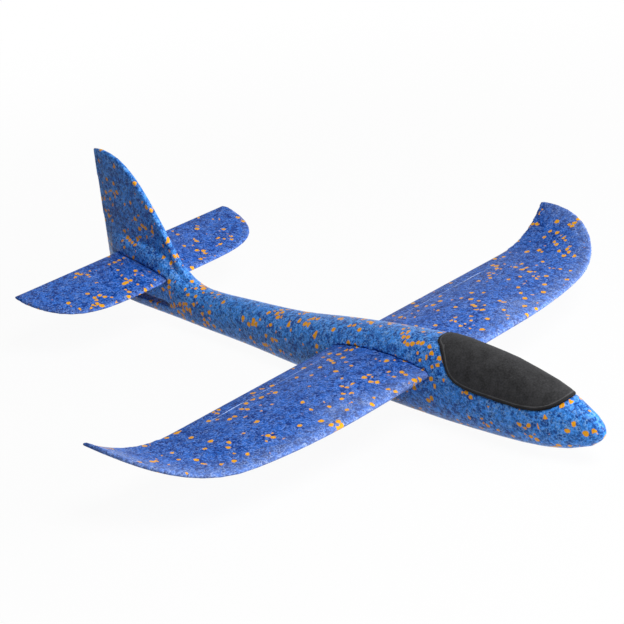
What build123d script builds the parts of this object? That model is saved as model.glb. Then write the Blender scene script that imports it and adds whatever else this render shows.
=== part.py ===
from build123d import *
from math import copysign, cos, pi, radians, sin
import os

# Hand-launch glider moulded in foamed polypropylene: a fuselage with its fin in one piece, a one-piece
# wing and a one-piece tailplane pushed sideways through slots in it, a soft black canopy pad set flush
# in the nose and a steel balance weight in a pocket under the pad.
#
# Millimetres. +X forward, +Y to port, +Z up. The origin lies under the middle of the length, at the
# level of the flat of the belly. Each slot passes the wing or the tailplane along Y.

# Lengthwise sizes, from the nose to the tail
NOSE_LENGTH = 126.2         # nose to the leading edge of the wing
WING_CHORD = 89.4           # chord where the wing passes through the fuselage
BOOM_LENGTH = 181.4         # trailing edge of the wing to leading edge of the tailplane
TAIL_CHORD = 60.5
TAIL_OVERHANG = 16.5        # fuselage behind the tailplane
FIN_LEAN = 3.5              # how far the top of the fin trails the end of the fuselage

# Fuselage heights and half widths
CABIN_TOP = 60.0
CABIN_HALF_WIDTH = 22.0
NOSE_AXIS_Z = 25.0
BELLY_TRIM = 0.5            # sliced off the round belly to leave the flat it rests on
BOOM_TOP = 36.0
BOOM_HALF_WIDTH = 12.2
SEAT_TOP = 64.0             # shoulder of the block that holds the tailplane
SEAT_HALF_WIDTH = 11.0
TAIL_KEEL = 12.0            # underside at the very end

# Fin
FIN_TOP = 132.2
FIN_LENGTH = 104.0          # from the end of the fuselage to where its crest runs out on the boom
FIN_ROOT_THICKNESS = 8.0
FIN_TIP_THICKNESS = 4.0
FIN_EDGE_THICKNESS = 2.0    # trailing edge

# Wing
SPAN = 480.0
WING_THICKNESS = 8.5
WING_TIP_THICKNESS = 3.0
WING_EDGE_THICKNESS = 2.0
WING_Z = 34.8               # underside of the wing
PARALLEL_SHARE = 0.30       # share of the half wing that keeps the full chord
WING_ROUNDING = 0.335
TIP_CURL_RADIUS = 105.0
TIP_CURL_ANGLE = 38.0       # degrees
TIP_SWEEP = 6.5             # the tip trails the straight trailing edge
CREASE_FROM_EDGE = 12.0     # trailing edge to the moulded line that the flap bends along
CREASE_WIDTH = 1.0
CREASE_DEPTH = 0.35
CREASE_ROOT = 32.0          # centre line to the inner end of the crease
CREASE_LENGTH = 118.0

# Tailplane
TAIL_SPAN = 222.0
TAIL_THICKNESS = 5.0
TAIL_TIP_THICKNESS = 3.0
TAIL_EDGE_THICKNESS = 1.8
TAIL_Z = 48.0               # underside of the trailing edge in the upper slot
TAIL_INCIDENCE = 10.0       # nose-down, degrees
TAIL_FULLNESS = 5.4
TAIL_ROUNDING = 0.46
LOWER_SLOT_Z = 17.5
SLOT_GAP = 0.3

# Canopy pad and balance weight
PAD_LENGTH = 107.0
PAD_FRONT = 24.0            # nose to the front tip of the pad
PAD_DEPTH = 25.0            # from the top of the cabin down to the pad's lower edge
PAD_PROUD = 1.0
PAD_SINK = 2.0              # thickness let into the foam
WEIGHT_LENGTH = 22.0
WEIGHT_DIAMETER = 10.0
WEIGHT_FROM_NOSE = 58.0
WEIGHT_DEPTH = 17.5         # from the top of the cabin down to the axis of the slug
WEIGHT_GAP = 0.1

LENGTH = NOSE_LENGTH + WING_CHORD + BOOM_LENGTH + TAIL_CHORD + TAIL_OVERHANG + FIN_LEAN
NOSE_X = LENGTH / 2
WING_LE_X = NOSE_X - NOSE_LENGTH
WING_TE_X = WING_LE_X - WING_CHORD
TAIL_LE_X = WING_TE_X - BOOM_LENGTH
TAIL_TE_X = TAIL_LE_X - TAIL_CHORD
END_X = TAIL_TE_X - TAIL_OVERHANG
OVAL_POINTS = 16
HULL_PANEL = 12.0           # length of the skin between two sections of the fuselage
FIN_PANEL = 7.0
BLUFFNESS = 1.2             # length of the rounded leading edges, in thicknesses
BROW_SHARE = 0.86           # thickness at the back of that rounding
CREST_SHARE = 0.55          # thickest point of a blade ahead of its trailing edge, in chords
WING_PANELS = 18            # in each half, closer together towards the tip
TAIL_PANELS = 14


def mix(start, end, share):
    """The value a share of the way from start to end."""
    return start + (end - start) * share


def oval(x, keel, crown, half_width, fullness):
    """Cross-section of the fuselage: a superellipse in the plane across X."""
    middle = (crown + keel) / 2
    half_height = (crown - keel) / 2
    points = []
    for step in range(OVAL_POINTS):
        angle = 2 * pi * step / OVAL_POINTS - pi / 2
        across = half_width * copysign(abs(cos(angle)) ** (2 / fullness), cos(angle))
        upward = half_height * copysign(abs(sin(angle)) ** (2 / fullness), sin(angle))
        points.append(Vector(x, across, middle + upward))
    steps = [step / OVAL_POINTS for step in range(OVAL_POINTS + 1)]
    return Face(Wire([Edge.make_spline(points, periodic=True, parameters=steps)]))


def faired(stations, panel_length):
    """The stations with others between them, a panel apart, on smooth curves through them all."""
    last = len(stations) - 1
    slopes = []
    for index in range(last + 1):
        back = stations[max(index - 1, 0)]
        ahead = stations[min(index + 1, last)]
        slopes.append([(far - near) / (ahead[0] - back[0]) for near, far in zip(back, ahead)])
    rows = []
    for index in range(last):
        reach = stations[index + 1][0] - stations[index][0]
        panels = max(1, round(reach / panel_length))
        for panel in range(panels):
            share = panel / panels
            row = []
            for near, far, rise, fall in zip(*stations[index:index + 2], *slopes[index:index + 2]):
                bend = reach * share * (1 - share) * ((1 - share) * rise - share * fall)
                row.append(mix(near, far, share * share * (3 - 2 * share)) + bend)
            rows.append(row)
    return rows + [stations[-1]]


def hull(grow=0.0):
    """Fuselage without its fin, lofted from the tail to the nose and swollen all over by grow."""
    # Distance ahead of the end, underside, crown, half width and fullness of each oval
    seat = TAIL_LE_X - END_X
    waist = WING_TE_X - TAIL_LE_X
    stations = [
        (0, TAIL_KEEL, SEAT_TOP - 1.5, 0.8 * FIN_EDGE_THICKNESS, 2.2),
        (0.05 * seat, 0.92 * TAIL_KEEL, SEAT_TOP - 0.7, 0.33 * SEAT_HALF_WIDTH, 2.4),
        (0.14 * seat, 0.75 * TAIL_KEEL, SEAT_TOP, 0.64 * SEAT_HALF_WIDTH, 2.8),
        (0.31 * seat, 0.61 * TAIL_KEEL, SEAT_TOP - 0.2, 0.89 * SEAT_HALF_WIDTH, 3.0),
        (0.58 * seat, 0.58 * TAIL_KEEL, SEAT_TOP - 2.2, SEAT_HALF_WIDTH, 3.0),
        (0.90 * seat, 0.55 * TAIL_KEEL, mix(BOOM_TOP, SEAT_TOP, 0.71), 1.04 * SEAT_HALF_WIDTH, 2.9),
        (seat + 0.07 * waist, 0.51 * TAIL_KEEL, mix(BOOM_TOP, SEAT_TOP, 0.20), 1.07 * SEAT_HALF_WIDTH, 2.6),
        (seat + 0.17 * waist, 0.45 * TAIL_KEEL, BOOM_TOP, BOOM_HALF_WIDTH, 2.4),
        (seat + 0.45 * waist, 0.31 * TAIL_KEEL, mix(BOOM_TOP, CABIN_TOP, 0.10), 1.1 * BOOM_HALF_WIDTH, 2.2),
        (seat + 0.72 * waist, 0.15 * TAIL_KEEL, mix(BOOM_TOP, CABIN_TOP, 0.233), 1.38 * BOOM_HALF_WIDTH, 2.2),
    ]
    stations = [(END_X + ahead, *rest) for ahead, *rest in stations]
    stations += [
        (WING_TE_X, 0.075 * TAIL_KEEL, mix(BOOM_TOP, CABIN_TOP, 0.558), 0.93 * CABIN_HALF_WIDTH, 2.2),
        (mix(WING_TE_X, WING_LE_X, 0.5), -0.6 * BELLY_TRIM, CABIN_TOP - 4.6, 0.98 * CABIN_HALF_WIDTH, 2.2),
        (WING_LE_X, -BELLY_TRIM, CABIN_TOP, CABIN_HALF_WIDTH, 2.2),
    ]
    # Shares of the nose's length, of its height above and depth below its axis and of its width
    for back, rise, drop, width, fullness in [
        (0.832, 0.971, 0.992, 1.0, 2.2),
        (0.594, 0.886, 0.936, 0.955, 2.2),
        (0.460, 0.786, 0.892, 0.895, 2.2),
        (0.341, 0.686, 0.824, 0.818, 2.2),
        (0.190, 0.509, 0.672, 0.636, 2.1),
        (0.071, 0.314, 0.440, 0.386, 2.0),
        (0.028, 0.186, 0.260, 0.250, 2.0),
        (0.006, 0.086, 0.120, 0.118, 2.0),
    ]:
        keel = mix(NOSE_AXIS_Z, 0, drop)
        crown = mix(NOSE_AXIS_Z, CABIN_TOP, rise)
        stations.append((mix(NOSE_X, WING_LE_X, back), keel, crown, width * CABIN_HALF_WIDTH, fullness))
    ovals = []
    for x, keel, crown, half_width, fullness in faired(stations, HULL_PANEL):
        ovals.append(oval(x, keel - grow, crown + grow, half_width + grow, fullness))
    return loft(ovals + [Vertex(NOSE_X + grow, 0, NOSE_AXIS_Z)], ruled=True)


def fin():
    """Upright fin: sections across X, each a tall blade with a round top that follows the leading edge."""
    # Shares of the fin's length and of its height, thickness at the root and thickness at the top
    stations = [
        (0.0, 0.994, FIN_EDGE_THICKNESS, FIN_EDGE_THICKNESS),
        (0.096, 0.996, 0.62 * FIN_ROOT_THICKNESS, 0.85 * FIN_TIP_THICKNESS),
        (0.260, 0.948, FIN_ROOT_THICKNESS, FIN_TIP_THICKNESS),
        (0.404, 0.834, FIN_ROOT_THICKNESS, 1.08 * FIN_TIP_THICKNESS),
        (0.538, 0.657, FIN_ROOT_THICKNESS, 1.15 * FIN_TIP_THICKNESS),
        (0.663, 0.449, FIN_ROOT_THICKNESS, 1.25 * FIN_TIP_THICKNESS),
        (0.760, 0.272, 0.94 * FIN_ROOT_THICKNESS, 1.35 * FIN_TIP_THICKNESS),
        (0.875, 0.090, 0.94 * FIN_ROOT_THICKNESS, 1.5 * FIN_TIP_THICKNESS),
        (1.0, 0.012, FIN_ROOT_THICKNESS, 1.75 * FIN_TIP_THICKNESS),
    ]
    stations = [
        (END_X + along * FIN_LENGTH, mix(BOOM_TOP, FIN_TOP, up), root, tip)
        for along, up, root, tip in stations
    ]
    foot = 0.6 * BOOM_TOP
    lean = FIN_LEAN / (FIN_TOP - foot)
    blades = []
    for x, top, root, tip in faired(stations, FIN_PANEL):
        shoulder = top - tip / 2
        low = [Vector(x, side * root / 2, foot) for side in (1, -1)]
        high = [Vector(x - lean * (shoulder - foot), side * tip / 2, shoulder) for side in (1, -1)]
        crest = Vector(x - lean * (top - foot), 0, top)
        blades.append(Face(Wire([
            Edge.make_line(low[0], high[0]),
            Edge.make_three_point_arc(high[0], crest, high[1]),
            Edge.make_line(high[1], low[1]),
            Edge.make_line(low[1], low[0]),
        ])))
    return loft(blades, ruled=True)


def blade_section(corner, lift, chord, thickness, edge, pitch=0.0, gap=0.0):
    """Flat-bottomed aerofoil in the plane of X and lift, pitched about its corner, the foot of its
    trailing edge; the hole it fits has the same section with a gap all round."""
    ahead = Vector(cos(pitch), 0, 0) + lift * sin(pitch)
    above = lift * cos(pitch) - Vector(sin(pitch), 0, 0)

    def at(x, z):
        return corner + ahead * x + above * z

    brow = chord - BLUFFNESS * thickness
    rim = BROW_SHARE * thickness
    crest = CREST_SHARE * chord
    middle = Plane(at(brow, rim / 2), x_dir=ahead, z_dir=ahead.cross(above))
    return Face(Wire([
        Edge.make_line(at(brow, -gap), at(-gap, -gap)),
        Edge.make_line(at(-gap, -gap), at(-gap, edge + gap)),
        Edge.make_three_point_arc(at(-gap, edge + gap), at(crest, thickness + gap), at(brow, rim + gap)),
        Edge.make_ellipse(chord - brow + gap, rim / 2 + gap, middle, 270, 90),
    ]))


def wing_station(share):
    """Place, lift direction and sweep of the wing at a share of the unrolled half span."""
    curl = radians(TIP_CURL_ANGLE)
    straight = SPAN / 2 - TIP_CURL_RADIUS * sin(curl)
    along = share * (straight + TIP_CURL_RADIUS * curl)
    angle = max(0.0, (along - straight) / TIP_CURL_RADIUS)
    out = along if angle == 0 else straight + TIP_CURL_RADIUS * sin(angle)
    rise = TIP_CURL_RADIUS * (1 - cos(angle))
    sweep = TIP_SWEEP * (angle / curl) ** 2
    return Vector(WING_TE_X - sweep, out, WING_Z + rise), Vector(0, -sin(angle), cos(angle))


def wing_root(gap=0.0):
    """Section of the wing inside the fuselage."""
    corner = Vector(WING_TE_X, 0, WING_Z)
    return blade_section(corner, Vector(0, 0, 1), WING_CHORD, WING_THICKNESS, WING_EDGE_THICKNESS, gap=gap)


def half_wing():
    """Port half outboard of the parallel middle: a tapering panel whose tip curls up."""
    sections = []
    for panel in range(WING_PANELS):
        taper = sin(pi / 2 * panel / WING_PANELS)
        origin, lift = wing_station(mix(PARALLEL_SHARE, 1, taper))
        chord = WING_CHORD * (1 - taper ** 2) ** WING_ROUNDING
        thickness = mix(WING_THICKNESS, WING_TIP_THICKNESS, taper)
        sections.append(blade_section(origin, lift, chord, thickness, WING_EDGE_THICKNESS))
    return loft(sections, ruled=True)


def flap_crease(blade):
    """Shallow groove along the port flap: a strip of the wing's own top skin."""
    middle = Pos(WING_TE_X + CREASE_FROM_EDGE, CREASE_ROOT + CREASE_LENGTH / 2, WING_Z + WING_THICKNESS)
    strip = middle * Box(CREASE_WIDTH, CREASE_LENGTH, 2 * WING_THICKNESS)
    return strip - Pos(0, 0, -CREASE_DEPTH) * blade


def wing():
    """One-piece wing: a parallel middle that fits its slot, and a half each side with an upturned tip."""
    reach = wing_station(PARALLEL_SHARE)[0].Y
    port = extrude(wing_root(), reach, dir=(0, 1, 0)) + half_wing()
    port = port - flap_crease(port)
    return port + mirror(port, Plane.XZ)


def wing_slot():
    """The hole that the wing is pushed through: its root section with a small gap all round."""
    return extrude(wing_root(SLOT_GAP), 2 * CABIN_HALF_WIDTH, dir=(0, 1, 0), both=True)


def tail_section(share, height, pitch, gap=0.0):
    """Section of the tailplane at a share of its half span, pitched about its trailing edge."""
    chord = TAIL_CHORD / cos(radians(TAIL_INCIDENCE)) * (1 - share ** TAIL_FULLNESS) ** TAIL_ROUNDING
    thickness = mix(TAIL_THICKNESS, TAIL_TIP_THICKNESS, share)
    corner = Vector(TAIL_TE_X, share * TAIL_SPAN / 2, height)
    return blade_section(corner, Vector(0, 0, 1), chord, thickness, TAIL_EDGE_THICKNESS, radians(pitch), gap)


def tailplane():
    """One-piece tailplane: straight trailing edge, leading edge rounding back to square rear corners."""
    shares = [sin(pi / 2 * panel / TAIL_PANELS) for panel in range(TAIL_PANELS)]
    half = loft([tail_section(share, TAIL_Z, -TAIL_INCIDENCE) for share in shares], ruled=True)
    return half + mirror(half, Plane.XZ)


def tail_slot(height, pitch):
    """One of the two holes that take the tailplane; which one it sits in sets the flight path."""
    return extrude(tail_section(0.0, height, pitch, SLOT_GAP), 2 * SEAT_HALF_WIDTH, dir=(0, 1, 0), both=True)


def pad_outline():
    """Side view of the canopy pad, as a block that runs right across the fuselage."""
    rear = NOSE_X - PAD_FRONT - PAD_LENGTH
    # Shares of the pad's length from its rear and of its depth below the top of the cabin
    edge = [(rear + along * PAD_LENGTH, 0, CABIN_TOP - down * PAD_DEPTH) for along, down in [
        (-0.023, -0.12),
        (0.023, 0.008),
        (0.079, 0.10),
        (0.159, 0.50),
        (0.224, 0.76),
        (0.336, 0.904),
        (0.561, 0.968),
        (0.757, 1.0),
        (0.902, 0.88),
        (0.986, 0.66),
        (1.028, 0.44),
    ]]
    sky = CABIN_TOP + PAD_DEPTH
    above = Polyline(edge[-1], (edge[-1][0], 0, sky), (edge[0][0], 0, sky), edge[0])
    return extrude(make_face(Spline(edge) + above), 2 * CABIN_HALF_WIDTH, dir=(0, 1, 0), both=True)


def canopy_pad():
    """Soft pad wrapped over the cabin: a shell between two skins of the fuselage."""
    return pad_outline() & (hull(PAD_PROUD) - hull(-PAD_SINK))


def balance_weight(gap=0.0):
    """Steel slug that lies along the fuselage under the pad."""
    slug = Cylinder(WEIGHT_DIAMETER / 2 + gap, WEIGHT_LENGTH + 2 * gap, rotation=(0, 90, 0))
    return Pos(NOSE_X - WEIGHT_FROM_NOSE, 0, CABIN_TOP - WEIGHT_DEPTH) * slug


def weight_pocket():
    """Pocket the slug is dropped into from above: its own shape, open to the pad's recess."""
    length = WEIGHT_LENGTH + 2 * WEIGHT_GAP
    width = WEIGHT_DIAMETER + 2 * WEIGHT_GAP
    shaft = Box(length, width, WEIGHT_DEPTH, align=(Align.CENTER, Align.CENTER, Align.MIN))
    return balance_weight(WEIGHT_GAP) + Pos(NOSE_X - WEIGHT_FROM_NOSE, 0, CABIN_TOP - WEIGHT_DEPTH) * shaft


def fuselage():
    """Fuselage and fin, moulded together and pierced for the wing, the tailplane, the pad and the slug."""
    ground = Box(2 * LENGTH, 4 * CABIN_HALF_WIDTH, CABIN_TOP, align=(Align.CENTER, Align.CENTER, Align.MAX))
    recess = pad_outline() - hull(-PAD_SINK)
    body = hull() + fin() - ground - wing_slot()
    body = body - tail_slot(TAIL_Z, -TAIL_INCIDENCE) - tail_slot(LOWER_SLOT_Z, 0.0)
    return body - recess - weight_pocket()


PIECES = {
    "fuselage": fuselage,
    "wing": wing,
    "tailplane": tailplane,
    "canopy_pad": canopy_pad,
    "balance_weight": balance_weight,
}

os.makedirs("parts", exist_ok=True)
for name, make in PIECES.items():
    export_step(make(), f"parts/{name}.step")
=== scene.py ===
import bmesh
import bpy
from contextlib import contextmanager
from math import pi, radians, sin
from mathutils import Matrix, Vector
from mathutils.kdtree import KDTree


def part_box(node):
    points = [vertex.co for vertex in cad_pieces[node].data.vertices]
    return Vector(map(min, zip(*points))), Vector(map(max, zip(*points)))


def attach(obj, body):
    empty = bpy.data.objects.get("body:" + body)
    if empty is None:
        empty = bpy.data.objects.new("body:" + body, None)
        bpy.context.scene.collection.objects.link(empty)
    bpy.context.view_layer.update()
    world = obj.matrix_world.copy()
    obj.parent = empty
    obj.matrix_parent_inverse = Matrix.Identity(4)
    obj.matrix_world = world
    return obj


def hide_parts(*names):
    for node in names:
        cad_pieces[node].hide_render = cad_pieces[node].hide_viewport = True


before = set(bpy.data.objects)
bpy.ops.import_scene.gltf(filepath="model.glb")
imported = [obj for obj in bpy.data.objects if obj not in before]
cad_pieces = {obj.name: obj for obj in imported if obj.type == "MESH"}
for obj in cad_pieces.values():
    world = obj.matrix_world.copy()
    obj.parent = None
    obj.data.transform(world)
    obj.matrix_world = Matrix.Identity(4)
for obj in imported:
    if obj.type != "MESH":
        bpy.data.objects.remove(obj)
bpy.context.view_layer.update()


# Stage: a long lens looks down past the starboard side of the nose. The glider rests on its belly on a
# wide white floor, under a soft lamp above the nose, one low ahead of the port wing and a weak one aft.

LOOK_AT = Vector((-0.0127, 0.0, 0.0461))
CAMERA_AZIMUTH = radians(-44.9)
CAMERA_ELEVATION = radians(24.44)
CAMERA_ROLL = radians(-5.07)
CAMERA_DISTANCE = 1.2203
LENS = 97.64
FILM_WIDTH = 36.0
SOFTBOXES = (
    # name, place, width in metres, watts
    ("nose_softbox", Vector((0.72, -0.12, 1.15)), 0.6, 14.5),
    ("low_softbox", Vector((1.35, 0.85, 0.38)), 0.6, 27.0),
    ("tail_softbox", Vector((-1.5, -0.2, 0.9)), 0.9, 1.0),
)
ROOM_LIGHT = 0.05
WHITE = (1.0, 1.0, 1.0, 1.0)
FLOOR_GREY = (0.8, 0.8, 0.8, 1.0)
FLOOR_HALF_WIDTH = 4.0
SHADOW_REACH = 0.3          # the floor keeps its full shadow out to here
SHADOW_END = 1.1            # and fades into the backdrop by here
FLOOR_GLOW = 0.95


def shader_node(tree, kind, sockets=None, **options):
    """Add a node with its options set; each socket takes a plain value or another node's output."""
    node = tree.nodes.new("ShaderNode" + kind)
    for option, choice in options.items():
        setattr(node, option, choice)
    for socket, value in (sockets or {}).items():
        if isinstance(value, bpy.types.NodeSocket):
            tree.links.new(value, node.inputs[socket])
        else:
            node.inputs[socket].default_value = value
    return node


def backdrop_rays(tree):
    """1 for the rays that should meet a plain white backdrop: camera, glossy and transmission."""
    ray = shader_node(tree, "LightPath")
    direct = shader_node(
        tree, "Math", {0: ray.outputs["Is Camera Ray"], 1: ray.outputs["Is Glossy Ray"]}, operation="ADD",
    )
    rays = shader_node(
        tree, "Math", {0: direct.outputs["Value"], 1: ray.outputs["Is Transmission Ray"]},
        operation="ADD", use_clamp=True,
    )
    return rays.outputs["Value"]


back = Vector((1.0, 0.0, 0.0))
back.rotate(Matrix.Rotation(-CAMERA_ELEVATION, 3, "Y"))
back.rotate(Matrix.Rotation(CAMERA_AZIMUTH, 3, "Z"))
turn = back.to_track_quat("Z", "Y").to_matrix() @ Matrix.Rotation(CAMERA_ROLL, 3, "Z")
camera = bpy.data.objects.new("camera", bpy.data.cameras.new("camera"))
camera.matrix_world = Matrix.Translation(LOOK_AT + back * CAMERA_DISTANCE) @ turn.to_4x4()
camera.data.lens = LENS
camera.data.sensor_width = FILM_WIDTH
camera.data.clip_start = 0.05
bpy.context.scene.collection.objects.link(camera)
bpy.context.scene.camera = camera
bpy.context.scene.view_settings.view_transform = "Standard"

for name, place, width, watts in SOFTBOXES:
    lamp = bpy.data.lights.new(name, "AREA")
    lamp.size = width
    lamp.energy = watts
    holder = bpy.data.objects.new(name, lamp)
    holder.location = place
    holder.rotation_euler = place.to_track_quat("Z", "Y").to_euler()
    bpy.context.scene.collection.objects.link(holder)

studio = bpy.data.worlds.new("studio")
studio.use_nodes = True
tree = studio.node_tree
tree.nodes.clear()
room = shader_node(tree, "Background", {"Color": WHITE, "Strength": ROOM_LIGHT})
backdrop = shader_node(tree, "Background", {"Color": WHITE, "Strength": 1.0})
seen = shader_node(
    tree, "MixShader",
    {"Fac": backdrop_rays(tree), 1: room.outputs["Background"], 2: backdrop.outputs["Background"]},
)
shader_node(tree, "OutputWorld", {"Surface": seen.outputs["Shader"]})
bpy.context.scene.world = studio

form = bmesh.new()
bmesh.ops.create_grid(form, x_segments=2, y_segments=2, size=FLOOR_HALF_WIDTH)
floor_mesh = bpy.data.meshes.new("floor")
form.to_mesh(floor_mesh)
form.free()
floor = bpy.data.objects.new("floor", floor_mesh)
bpy.context.scene.collection.objects.link(floor)

paper = bpy.data.materials.new("white_paper")
paper.use_nodes = True
tree = paper.node_tree
tree.nodes.clear()
spot = shader_node(tree, "TexCoord")
away = shader_node(tree, "VectorMath", {0: spot.outputs["Object"]}, operation="LENGTH")
fade = shader_node(tree, "MapRange", {
    "Value": away.outputs["Value"],
    "From Min": SHADOW_REACH,
    "From Max": SHADOW_END,
    "To Min": FLOOR_GLOW,
    "To Max": 1.0,
}, interpolation_type="SMOOTHSTEP")
whitened = shader_node(
    tree, "Math", {0: backdrop_rays(tree), 1: fade.outputs["Result"]}, operation="MULTIPLY",
)
matt = shader_node(tree, "BsdfDiffuse", {"Color": FLOOR_GREY})
glow = shader_node(tree, "Emission", {"Color": WHITE, "Strength": 1.0})
blend = shader_node(
    tree, "MixShader",
    {"Fac": whitened.outputs["Value"], 1: matt.outputs["BSDF"], 2: glow.outputs["Emission"]},
)
shader_node(tree, "OutputMaterial", {"Surface": blend.outputs["Shader"]})
floor_mesh.materials.append(paper)


# Fuselage: body, tail block and fin in one moulding of bead foam, cyan-blue beads with stray orange
# ones. Steam-moulding leaves a skin in which each flattened bead shows, with a fine seam round it.
# The slots and the canopy recess have the soft edges of a moulding.

FUSELAGE_GRAIN = 0.0010
CORNER_BACK = 0.0022        # how far the rear corner of the recess is eased back
CORNER_DEPTH = 0.015
CORNER_REACH = 0.013
BEAD_WOBBLE = 0.5
BEAD_SEAM = 0.14            # width of a seam, in beads
BEAD_DOME = 0.3             # width of a bead's rounded edge, in beads
CHIP_WOBBLE = 0.7
CHIP_CORE = 0.47            # radius of a chip's solid colour, in chips
CHIP_RIM = 0.54
FOAM_ROUGHNESS = 0.34
SEAM_STRENGTH = 0.6
BEAD_RELIEF = 0.0002


@contextmanager
def opened(mesh):
    """A mesh opened for shaping, and closed again with its new shape."""
    form = bmesh.new()
    form.from_mesh(mesh)
    yield form
    form.to_mesh(mesh)
    form.free()


def moulding(node, grain):
    """A copy of the node's solid with its corners softened as a mould leaves them."""
    skin = cad_pieces[node].data.copy()
    skin.materials.clear()
    with opened(skin) as form:
        bmesh.ops.remove_doubles(form, verts=form.verts, dist=1e-6)
        bmesh.ops.recalc_face_normals(form, faces=form.faces)
    piece = bpy.data.objects.new(node + "_moulding", skin)
    bpy.context.scene.collection.objects.link(piece)
    remesh = piece.modifiers.new("skin", "REMESH")
    remesh.mode = "VOXEL"
    remesh.voxel_size = grain
    ease = piece.modifiers.new("ease", "SMOOTH")
    ease.factor = 0.5
    ease.iterations = 2
    graph = bpy.context.evaluated_depsgraph_get()
    eased = bpy.data.meshes.new_from_object(piece.evaluated_get(graph))
    eased.name = node + "_moulding"
    for face in eased.polygons:
        face.use_smooth = True
    piece.modifiers.clear()
    piece.data = eased
    return piece


def round_corner(form):
    """Ease the pad's rear edge back where it turns down off the crown; pad and recess move together."""
    low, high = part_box("canopy_pad")
    middle_x = low[0] + 0.4 * CORNER_REACH
    for vert in form.verts:
        down = (high[2] - vert.co.z) / CORNER_DEPTH
        along = (vert.co.x - middle_x) / CORNER_REACH
        if 0.0 < down < 1.0 and abs(along) < 1.0:
            vert.co.x -= CORNER_BACK * sin(pi * down ** 0.7) * (1.0 - along * along) ** 2


bead_group = bpy.data.node_groups.new("moulded_beads", "ShaderNodeTree")
for label in ("Bead Size", "Chip Size", "Chip Share"):
    bead_group.interface.new_socket(label, in_out="INPUT", socket_type="NodeSocketFloat")
for label in ("Shade", "Seam", "Chip", "Height"):
    bead_group.interface.new_socket(label, in_out="OUTPUT", socket_type="NodeSocketFloat")
ordered = bead_group.nodes.new("NodeGroupInput").outputs
on_piece = shader_node(bead_group, "TexCoord").outputs["Object"]


def bead_cells(size, wobble):
    """Places on the piece counted in beads and bent a little, so that the beads are uneven."""
    spread = shader_node(bead_group, "CombineXYZ", {"X": size, "Y": size, "Z": size})
    count = shader_node(
        bead_group, "VectorMath", {0: on_piece, 1: spread.outputs["Vector"]}, operation="DIVIDE",
    )
    bend = shader_node(
        bead_group, "TexNoise", {"Vector": count.outputs["Vector"], "Scale": 1.1, "Detail": 2.0},
    )
    centred = shader_node(
        bead_group, "VectorMath", {0: bend.outputs["Color"], 1: (0.5, 0.5, 0.5)}, operation="SUBTRACT",
    )
    push = shader_node(
        bead_group, "VectorMath", {0: centred.outputs["Vector"], "Scale": wobble}, operation="SCALE",
    )
    bent = shader_node(
        bead_group, "VectorMath", {0: count.outputs["Vector"], 1: push.outputs["Vector"]}, operation="ADD",
    )
    return bent.outputs["Vector"]


def bead_noise(cells, scale, detail, roughness=0.5):
    """Cloudy noise, with its scale counted in beads."""
    sockets = {"Vector": cells, "Scale": scale, "Detail": detail, "Roughness": roughness}
    return shader_node(bead_group, "TexNoise", sockets).outputs["Fac"]


def eased_step(value, low, high, start=0.0, end=1.0):
    """Go smoothly from start to end as the value goes from low to high."""
    sockets = {"Value": value, "From Min": low, "From Max": high, "To Min": start, "To Max": end}
    return shader_node(bead_group, "MapRange", sockets, interpolation_type="SMOOTHSTEP").outputs["Result"]


def worked(first, operation, second):
    """Result of one sum on two values of the pattern."""
    return shader_node(bead_group, "Math", {0: first, 1: second}, operation=operation).outputs["Value"]


beads = bead_cells(ordered["Bead Size"], BEAD_WOBBLE)
bead = shader_node(bead_group, "TexVoronoi", {"Vector": beads, "Scale": 1.0})
bead_draw = shader_node(bead_group, "SeparateColor", {"Color": bead.outputs["Color"]}).outputs
bead_edge = shader_node(
    bead_group, "TexVoronoi", {"Vector": beads, "Scale": 1.0}, feature="DISTANCE_TO_EDGE",
).outputs["Distance"]
fibre = bead_noise(beads, 1.6, 4.0, 0.7)
patch = bead_noise(beads, 0.5, 3.0, 0.6)

# Dark and light beads, broken up by fine fibre and broad patches
by_bead = worked(bead_draw["Green"], "MULTIPLY", 0.38)
by_fibre = worked(eased_step(fibre, 0.38, 0.62), "MULTIPLY", 0.42)
by_patch = worked(eased_step(patch, 0.36, 0.64), "MULTIPLY", 0.20)
shade = eased_step(worked(by_bead, "ADD", worked(by_fibre, "ADD", by_patch)), 0.12, 0.88)

# Pale seams round some of the beads, and pale flecks
worn = eased_step(bead_draw["Blue"], 0.5, 0.9)
seam = worked(eased_step(bead_edge, 0.0, BEAD_SEAM, 1.0, 0.0), "MULTIPLY", worn)
fleck = worked(eased_step(fibre, 0.55, 0.65), "MULTIPLY", 0.6)

# Stray beads of the second colour, which lie closer together in some places
chips = bead_cells(ordered["Chip Size"], CHIP_WOBBLE)
chip = shader_node(bead_group, "TexVoronoi", {"Vector": chips, "Scale": 1.0})
chip_draw = shader_node(bead_group, "SeparateColor", {"Color": chip.outputs["Color"]}).outputs
gathered = eased_step(bead_noise(chips, 0.16, 0.0), 0.35, 0.65, 0.35, 1.65)
chosen = worked(chip_draw["Red"], "LESS_THAN", worked(ordered["Chip Share"], "MULTIPLY", gathered))
inside = eased_step(chip.outputs["Distance"], CHIP_CORE, CHIP_RIM, 1.0, 0.0)

found = bead_group.nodes.new("NodeGroupOutput").inputs
for label, value in (
    ("Shade", shade),
    ("Seam", worked(seam, "MAXIMUM", fleck)),
    ("Chip", worked(chosen, "MULTIPLY", inside)),
    ("Height", worked(eased_step(bead_edge, 0.0, BEAD_DOME), "ADD", worked(fibre, "MULTIPLY", 0.5))),
):
    bead_group.links.new(value, found[label])


def mixed_colour(tree, share, under, over):
    """One colour laid over another by a share of 0 to 1."""
    sockets = {"Factor": share, "A": under, "B": over}
    return shader_node(tree, "Mix", sockets, data_type="RGBA").outputs["Result"]


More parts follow.
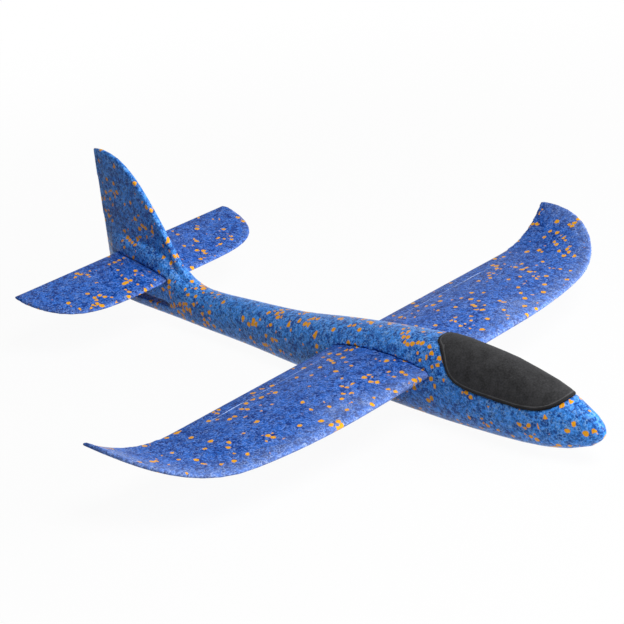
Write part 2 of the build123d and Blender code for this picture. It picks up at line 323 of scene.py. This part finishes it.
def bead_foam(name, dark, light, pale, chip, bead_size, chip_size, chip_share, gloss, sheen_and_crease_marks=()):
    """Moulded bead foam: dark and light beads, pale seams and stray beads of a second colour."""
    foam = bpy.data.materials.new(name)
    foam.use_nodes = True
    tree = foam.node_tree
    pattern = shader_node(tree, "Group", node_tree=bead_group)
    pattern.inputs["Bead Size"].default_value = bead_size
    pattern.inputs["Chip Size"].default_value = chip_size
    pattern.inputs["Chip Share"].default_value = chip_share
    blue = mixed_colour(tree, pattern.outputs["Shade"], (*dark, 1.0), (*light, 1.0))
    faint = shader_node(tree, "Math", {0: pattern.outputs["Seam"], 1: SEAM_STRENGTH}, operation="MULTIPLY")
    skin = mixed_colour(tree, faint.outputs["Value"], blue, (*pale, 1.0))
    # Pale marks laid over the foam: a painted sheen behind the leading edge, and the paler flap line
    for mark, colour in sheen_and_crease_marks:
        marked = shader_node(tree, "Attribute", attribute_name=mark)
        speckle = shader_node(
            tree, "MapRange", {"Value": pattern.outputs["Seam"], "To Min": 0.45, "To Max": 1.4},
        )
        patchy = shader_node(
            tree, "Math", {0: marked.outputs["Fac"], 1: speckle.outputs["Result"]},
            operation="MULTIPLY", use_clamp=True,
        )
        skin = mixed_colour(tree, patchy.outputs["Value"], skin, (*colour, 1.0))
    relief = shader_node(
        tree, "Bump", {"Height": pattern.outputs["Height"], "Strength": 0.6, "Distance": BEAD_RELIEF},
    )
    flecked = mixed_colour(tree, pattern.outputs["Chip"], skin, (*chip, 1.0))
    shader = tree.nodes["Principled BSDF"]
    shader.inputs["Roughness"].default_value = FOAM_ROUGHNESS
    shader.inputs["Specular IOR Level"].default_value = gloss
    tree.links.new(flecked, shader.inputs["Base Color"])
    tree.links.new(relief.outputs["Normal"], shader.inputs["Normal"])
    return foam


cyan_foam = bead_foam(
    "cyan_bead_foam",
    dark=(0.004, 0.045, 0.25),
    light=(0.060, 0.32, 0.93),
    pale=(0.33, 0.60, 0.96),
    chip=(0.86, 0.37, 0.015),
    bead_size=0.0025,
    chip_size=0.0037,
    chip_share=0.17,
    gloss=0.11,
)
fuselage = moulding("fuselage", FUSELAGE_GRAIN)
with opened(fuselage.data) as form:
    round_corner(form)
fuselage.data.materials.append(cyan_foam)
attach(fuselage, "airframe")
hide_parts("fuselage")


# Wing: one piece of violet-blue bead foam with upturned tips, pushed through its slot. A pale painted
# sheen is laid behind its leading edge, and a line moulded into its top, parallel to the trailing edge,
# shows paler where the flap bends.

WING_GRAIN = 0.0011
WING_SHEEN_WIDTH = 0.022          # width of the painted sheen behind the leading edge
WING_SHEEN_STRENGTH = 0.55
CREASE_X = 0.0352
CREASE_WIDTH = 0.0011
CREASE_DEPTH = 0.0004
CREASE_ROOT_Y = 0.032
CREASE_END_Y = 0.150
CREASE_FADE = 0.004         # length over which each end of the line runs out
CREASE_PALENESS = 1.5


def paint_sheen(form, width, strength):
    """Mark a painted sheen, pale at the leading edge and fading from it back."""
    fronts = {}
    for vert in form.verts:
        strip = round(vert.co.y * 1000)
        if strip not in fronts or vert.co.x > fronts[strip].x:
            fronts[strip] = vert.co.copy()
    edge = KDTree(len(fronts))
    for index, front in enumerate(fronts.values()):
        edge.insert(front, index)
    edge.balance()
    painted_sheen = form.verts.layers.float.new("painted_sheen")
    for vert in form.verts:
        distance = edge.find(vert.co)[2]
        vert[painted_sheen] = strength * max(0.0, 1.0 - distance / width) ** 1.5


def by_crease(face):
    """Whether a face of the wing's top lies along the flap line."""
    middle = face.calc_center_median()
    return (
        face.normal.z > 0.5
        and abs(middle.x - CREASE_X) < 3 * CREASE_WIDTH
        and CREASE_ROOT_Y < abs(middle.y) < CREASE_END_Y
    )


violet_foam = bead_foam(
    "violet_bead_foam",
    dark=(0.001, 0.025, 0.19),
    light=(0.033, 0.165, 0.66),
    pale=(0.27, 0.44, 0.92),
    chip=(0.86, 0.40, 0.02),
    bead_size=0.0025,
    chip_size=0.0038,
    chip_share=0.11,
    gloss=0.05,
    # first a painted sheen colour behind the leading edge, then the paler colour of the flap line
    sheen_and_crease_marks=(("painted_sheen", (0.38, 0.48, 0.76)), ("crease", (0.50, 0.64, 0.94))),
)
wing = moulding("wing", WING_GRAIN)
with opened(wing.data) as form:
    for share in (-0.5, 0.0, 0.5):
        near = [face for face in form.faces if by_crease(face)]
        edges = {edge for face in near for edge in face.edges}
        verts = {vert for face in near for vert in face.verts}
        bmesh.ops.bisect_plane(
            form, geom=near + list(edges) + list(verts), dist=1e-7, plane_no=(1.0, 0.0, 0.0),
            plane_co=(CREASE_X + share * CREASE_WIDTH, 0.0, 0.0),
        )
    # paint a pale sheen over the band behind the leading edge
    paint_sheen(form, WING_SHEEN_WIDTH, WING_SHEEN_STRENGTH)
    crease = form.verts.layers.float.new("crease")
    for vert in form.verts:
        across = abs(vert.co.x - CREASE_X) / (0.5 * CREASE_WIDTH)
        along = min(abs(vert.co.y) - CREASE_ROOT_Y, CREASE_END_Y - abs(vert.co.y))
        if across < 0.99 and along > 0.0 and vert.normal.z > 0.5:
            run_out = min(1.0, along / CREASE_FADE)
            vert[crease] = CREASE_PALENESS * run_out
            vert.co.z -= CREASE_DEPTH * (1.0 - across) * run_out
wing.data.materials.append(violet_foam)
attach(wing, "wing")
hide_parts("wing")


# Tailplane: one piece of the wing's foam, pushed through the upper of the two tail slots. It is thinner
# than the wing, and only the very front of it gets a painted sheen.

TAIL_GRAIN = 0.0009
TAIL_SHEEN_WIDTH = 0.007
TAIL_SHEEN_STRENGTH = 0.3

tailplane = moulding("tailplane", TAIL_GRAIN)
with opened(tailplane.data) as form:
    # paint a pale sheen over the very front
    paint_sheen(form, TAIL_SHEEN_WIDTH, TAIL_SHEEN_STRENGTH)
tailplane.data.materials.append(violet_foam)
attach(tailplane, "tailplane")
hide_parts("tailplane")


# Canopy pad: a soft black closed-cell sheet, heat-formed over the cabin and glued into its recess. Its
# edge is rolled down, and a fine line is embossed round it just inside the roll.

PAD_GRAIN = 0.0007
ROLL_WIDTH = 0.0022
ROLL_DEPTH = 0.0007
EMBOSSED_AT = 0.0030        # from the rim to the embossed line
EMBOSSED_WIDTH = 0.0006
EMBOSSED_DEPTH = 0.00025
RIM_STEP = 0.0005
SHEET_DARK = (0.007, 0.007, 0.0075, 1.0)
SHEET_LIGHT = (0.055, 0.055, 0.058, 1.0)
# painted shade for the rolled-down rim
RIM_PAINTED_SHADE = (0.004, 0.004, 0.0045, 1.0)
LINE_GREY = (0.12, 0.12, 0.124, 1.0)

low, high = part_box("canopy_pad")
under_pad = Vector(((low[0] + high[0]) / 2, 0.0, low[2]))
rim_points = []
form = bmesh.new()
form.from_mesh(cad_pieces["canopy_pad"].data)
bmesh.ops.remove_doubles(form, verts=form.verts, dist=1e-6)
for edge in form.edges:
    if len(edge.link_faces) == 2 and edge.calc_face_angle() > radians(50):
        outward = [face.normal.dot(face.calc_center_median() - under_pad) for face in edge.link_faces]
        if max(outward) > 0.0:
            steps = max(1, int(edge.calc_length() / RIM_STEP))
            start, end = (vert.co for vert in edge.verts)
            rim_points += [start.lerp(end, step / steps) for step in range(steps)]
form.free()
rim = KDTree(len(rim_points))
for index, point in enumerate(rim_points):
    rim.insert(point, index)
rim.balance()

canopy = moulding("canopy_pad", PAD_GRAIN)
with opened(canopy.data) as form:
    form.normal_update()
    from_rim = form.verts.layers.float.new("from_rim")
    for vert in form.verts:
        distance = rim.find(vert.co)[2]
        vert[from_rim] = distance * 1000.0
        if vert.normal.dot(vert.co - under_pad) > 0.0:
            roll = max(0.0, 1.0 - distance / ROLL_WIDTH)
            line = max(0.0, 1.0 - abs(distance - EMBOSSED_AT) / EMBOSSED_WIDTH)
            vert.co -= vert.normal * (ROLL_DEPTH * roll * roll + EMBOSSED_DEPTH * line)
    round_corner(form)

canopy_sheet = bpy.data.materials.new("black_canopy_sheet")
canopy_sheet.use_nodes = True
tree = canopy_sheet.node_tree
place = shader_node(tree, "TexCoord").outputs["Object"]
cells = shader_node(
    tree, "TexNoise", {"Vector": place, "Scale": 900.0, "Detail": 3.0, "Roughness": 0.6},
).outputs["Fac"]
scuffs = shader_node(
    tree, "TexNoise", {"Vector": place, "Scale": 120.0, "Detail": 5.0, "Roughness": 0.65},
).outputs["Fac"]
grain = shader_node(tree, "Mix", {"Factor": 0.5, "A": cells, "B": scuffs}).outputs["Result"]
sheet_colour = shader_node(tree, "ValToRGB", {"Fac": grain})
sheet_colour.color_ramp.elements[0].position = 0.32
sheet_colour.color_ramp.elements[0].color = SHEET_DARK
sheet_colour.color_ramp.elements[1].position = 0.70
sheet_colour.color_ramp.elements[1].color = SHEET_LIGHT
rim_distance = shader_node(tree, "Attribute", attribute_name="from_rim").outputs["Fac"]
# Painted shade: the sheet darkens along the rim, where it rolls down into the recess
rolled = shader_node(tree, "MapRange", {
    "Value": rim_distance,
    "From Min": 1.4,
    "From Max": 2.8,
    "To Min": 0.75,
    "To Max": 0.0,
}, interpolation_type="SMOOTHSTEP")
rim_shaded = mixed_colour(tree, rolled.outputs["Result"], sheet_colour.outputs["Color"], RIM_PAINTED_SHADE)
on_line = shader_node(
    tree, "Math", {0: rim_distance, 1: EMBOSSED_AT * 1000.0, 2: EMBOSSED_WIDTH * 500.0}, operation="COMPARE",
)
faint = shader_node(tree, "Math", {0: on_line.outputs["Value"], 1: scuffs}, operation="MULTIPLY")
lined = mixed_colour(tree, faint.outputs["Value"], rim_shaded, LINE_GREY)
matt = shader_node(tree, "MapRange", {"Value": scuffs, "To Min": 0.5, "To Max": 0.75})
relief = shader_node(tree, "Bump", {"Height": grain, "Strength": 0.5, "Distance": 0.00015})
shader = tree.nodes["Principled BSDF"]
shader.inputs["Specular IOR Level"].default_value = 0.1
tree.links.new(lined, shader.inputs["Base Color"])
tree.links.new(matt.outputs["Result"], shader.inputs["Roughness"])
tree.links.new(relief.outputs["Normal"], shader.inputs["Normal"])

canopy.data.materials.append(canopy_sheet)
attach(canopy, "airframe")
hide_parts("canopy_pad")


# Balance weight: a length of drawn steel bar, sawn off and pressed into its pocket under the pad. Fine
# tool lines run round it, and a thin film of oil has dulled it in patches.

STEEL_DULL = (0.33, 0.32, 0.31, 1.0)
STEEL_BRIGHT = (0.56, 0.57, 0.58, 1.0)

bar_steel = bpy.data.materials.new("drawn_steel_bar")
bar_steel.use_nodes = True
tree = bar_steel.node_tree
place = shader_node(tree, "TexCoord").outputs["Object"]
along = shader_node(tree, "Mapping", {"Vector": place, "Scale": (60.0, 6.0, 6.0)})
tool_lines = shader_node(
    tree, "TexNoise", {"Vector": along.outputs["Vector"], "Scale": 60.0, "Detail": 3.0},
)
film = shader_node(tree, "TexNoise", {"Vector": place, "Scale": 250.0, "Detail": 4.0}).outputs["Fac"]
steel_colour = shader_node(tree, "ValToRGB", {"Fac": film})
steel_colour.color_ramp.elements[0].position = 0.35
steel_colour.color_ramp.elements[0].color = STEEL_DULL
steel_colour.color_ramp.elements[1].position = 0.65
steel_colour.color_ramp.elements[1].color = STEEL_BRIGHT
dulled = shader_node(tree, "MapRange", {"Value": film, "To Min": 0.5, "To Max": 0.25})
relief = shader_node(
    tree, "Bump", {"Height": tool_lines.outputs["Fac"], "Strength": 0.4, "Distance": 0.00005},
)
shader = tree.nodes["Principled BSDF"]
shader.inputs["Metallic"].default_value = 1.0
tree.links.new(steel_colour.outputs["Color"], shader.inputs["Base Color"])
tree.links.new(dulled.outputs["Result"], shader.inputs["Roughness"])
tree.links.new(relief.outputs["Normal"], shader.inputs["Normal"])
slug = cad_pieces["balance_weight"]
slug.data.materials.clear()
slug.data.materials.append(bar_steel)
